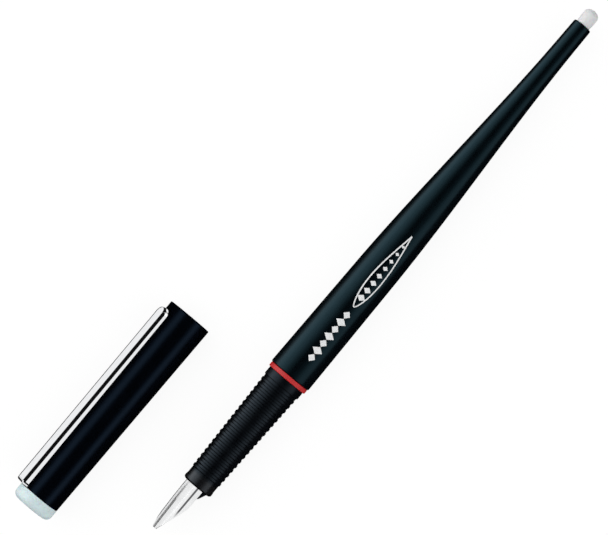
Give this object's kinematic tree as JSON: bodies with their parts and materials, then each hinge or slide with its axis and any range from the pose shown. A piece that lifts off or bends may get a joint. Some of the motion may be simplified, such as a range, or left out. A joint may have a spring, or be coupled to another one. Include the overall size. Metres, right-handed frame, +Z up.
{
  "type": "calligraphy fountain pen",
  "caption": "Slender long-tailed calligraphy pen with a blunt steel nib, ribbed grip, trim ring and piston converter, and its clip cap beside it.",
  "frame": {"origin": "on the pen's axis at the rear end of the grip's smooth collar, where the cap's mouth stops against the trim ring", "axes": "+X along the pen's axis from nib to tail, +Y towards the cap that lies beside the pen, +Z up from the table"},
  "size_m": [0.1708, 0.0387, 0.0112],
  "materials": {
    "grip_plastic": "fine satin black",
    "barrel_plastic": "polished black",
    "cap_plastic": "polished black",
    "feed_plastic": "matt black, ink-wetted",
    "ring_plastic": "red, semi-gloss",
    "tail_plug_plastic": "pale grey satin",
    "cap_plug_plastic": "pale mint grey satin",
    "liner_plastic": "natural pale grey",
    "nib_steel": "polished stainless steel",
    "clip_chrome": "bright chrome plate",
    "band_steel": "turned bright metal",
    "clear_plastic": "clear moulded plastic",
    "converter_plastic": "black moulded plastic",
    "seal_rubber": "black rubber"
  },
  "bodies": {
    "section": {"grip_section": "grip_plastic", "nib": "nib_steel", "feed": "feed_plastic"},
    "ring": {"trim_ring": "ring_plastic"},
    "barrel": {"barrel": "barrel_plastic", "tail_plug": "tail_plug_plastic"},
    "converter": {"converter_tube": "clear_plastic", "converter_band": "band_steel", "converter_bush": "converter_plastic"},
    "knob": {"converter_knob": "converter_plastic"},
    "piston": {"piston_rod": "converter_plastic", "piston_seal": "seal_rubber"},
    "cap": {"cap_tube": "cap_plastic", "inner_cap": "liner_plastic", "cap_plug": "cap_plug_plastic"},
    "clip": {"clip": "clip_chrome"}
  },
  "joints": [
    {"name": "barrel_turn", "type": "hinge", "parent": "section", "child": "ring", "pos_m": [0, 0, 0], "axis": [1, 0, 0], "range_deg": [0, 1800]},
    {"name": "barrel_travel", "type": "slide", "parent": "ring", "child": "barrel", "axis": [1, 0, 0], "range_m": [0, 0.006]},
    {"name": "converter_pull", "type": "slide", "parent": "section", "child": "converter", "axis": [1, 0, 0], "range_m": [0, 0.0046]},
    {"name": "knob_turn", "type": "hinge", "parent": "converter", "child": "knob", "pos_m": [0, 0, 0], "axis": [1, 0, 0], "range_deg": [0, 2880]},
    {"name": "piston_travel", "type": "slide", "parent": "converter", "child": "piston", "axis": [-1, 0, 0], "range_m": [0, 0.022]},
    {"name": "cap_slide", "type": "slide", "parent": "section", "child": "cap", "axis": [-1, 0, 0], "range_m": [-0.0031, 0.045]},
    {"name": "clip_flex", "type": "hinge", "parent": "cap", "child": "clip", "pos_m": [-0.05628, 0.03173, 0.00287], "axis": [0, -0.454, 0.891], "range_deg": [0, 2], "stiffness_Nm_per_rad": 0.2, "springref_deg": -1.72}
  ],
  "couplings": [
    {"joint": "barrel_turn", "follows": "barrel_travel", "rad_per_m": 5236},
    {"joint": "knob_turn", "follows": "piston_travel", "rad_per_m": 2284.8}
  ]
}
